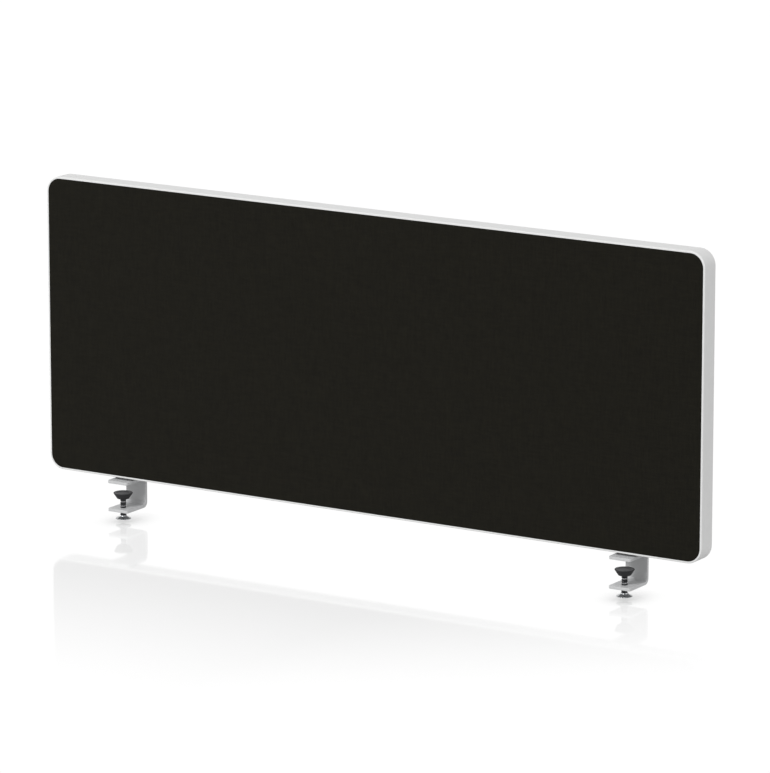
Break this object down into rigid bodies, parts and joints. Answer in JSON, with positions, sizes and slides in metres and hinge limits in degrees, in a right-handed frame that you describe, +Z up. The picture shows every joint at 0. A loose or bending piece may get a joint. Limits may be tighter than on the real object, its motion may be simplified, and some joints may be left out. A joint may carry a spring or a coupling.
{
  "type": "desk privacy panel",
  "caption": "Long low fabric-faced desk screen with rounded corners and white edging, held on a desk's back edge by C-shaped screw clamps.",
  "frame": {"origin": "at the panel's mid-width, on the upper edge of the desk top that the clamps grip: the desk top's surface is z = 0 and its back edge face is y = 0", "axes": "+X along the panel, +Y from the user towards the back, +Z up"},
  "size_m": [1, 0.048, 0.457],
  "materials": {
    "chipboard": "raw chipboard with a coarse grain",
    "white_edging": "smooth satin white edging",
    "grey_foam": "pressed felt foam sheet",
    "black_fabric": "fine plain-weave acoustic cloth",
    "grey_powder_coat": "silver-grey powder coat, fine satin grain",
    "grey_rubber": "matt moulded grey rubber",
    "zinc_steel": "bright zinc plate",
    "brass": "turned brass",
    "black_oxide_steel": "oiled black oxide on rolled thread",
    "spring_steel": "phosphated spring steel",
    "dark_chrome": "bright-turned nickelled steel",
    "black_plastic": "satin black moulded plastic",
    "pad_rubber": "satin dark rubber"
  },
  "bodies": {
    "root": {"core_board": "chipboard", "edge_trim": "white_edging", "front_foam": "grey_foam", "rear_foam": "grey_foam", "front_fabric": "black_fabric", "rear_fabric": "black_fabric", "left_bracket": "grey_powder_coat", "left_spacer": "grey_rubber", "left_fixing_screws": "zinc_steel", "left_threaded_inserts": "brass", "right_bracket": "grey_powder_coat", "right_spacer": "grey_rubber", "right_fixing_screws": "zinc_steel", "right_threaded_inserts": "brass"},
    "left_pad": {"left_pad_cup": "black_plastic", "left_pad_face": "pad_rubber"},
    "left_screw": {"left_clamp_rod": "black_oxide_steel", "left_knob": "dark_chrome", "left_retaining_clip": "spring_steel"},
    "right_pad": {"right_pad_cup": "black_plastic", "right_pad_face": "pad_rubber"},
    "right_screw": {"right_clamp_rod": "black_oxide_steel", "right_knob": "dark_chrome", "right_retaining_clip": "spring_steel"}
  },
  "joints": [
    {"name": "left_pad_slide", "type": "slide", "parent": "root", "child": "left_pad", "axis": [0, 0, 1], "range_m": [-0.01126, 0.00501]},
    {"name": "left_screw_turn", "type": "hinge", "parent": "left_pad", "child": "left_screw", "pos_m": [-0.386, -0.03, -0.0345], "axis": [0, 0, 1], "range_deg": [-3240, 1440]},
    {"name": "right_pad_slide", "type": "slide", "parent": "root", "child": "right_pad", "axis": [0, 0, 1], "range_m": [-0.01126, 0.00501]},
    {"name": "right_screw_turn", "type": "hinge", "parent": "right_pad", "child": "right_screw", "pos_m": [0.386, -0.03, -0.0345], "axis": [0, 0, 1], "range_deg": [-3240, 1440]}
  ],
  "couplings": [
    {"joint": "left_pad_slide", "follows": "left_screw_turn", "m_per_rad": 0.00019894},
    {"joint": "right_pad_slide", "follows": "right_screw_turn", "m_per_rad": 0.00019894}
  ]
}
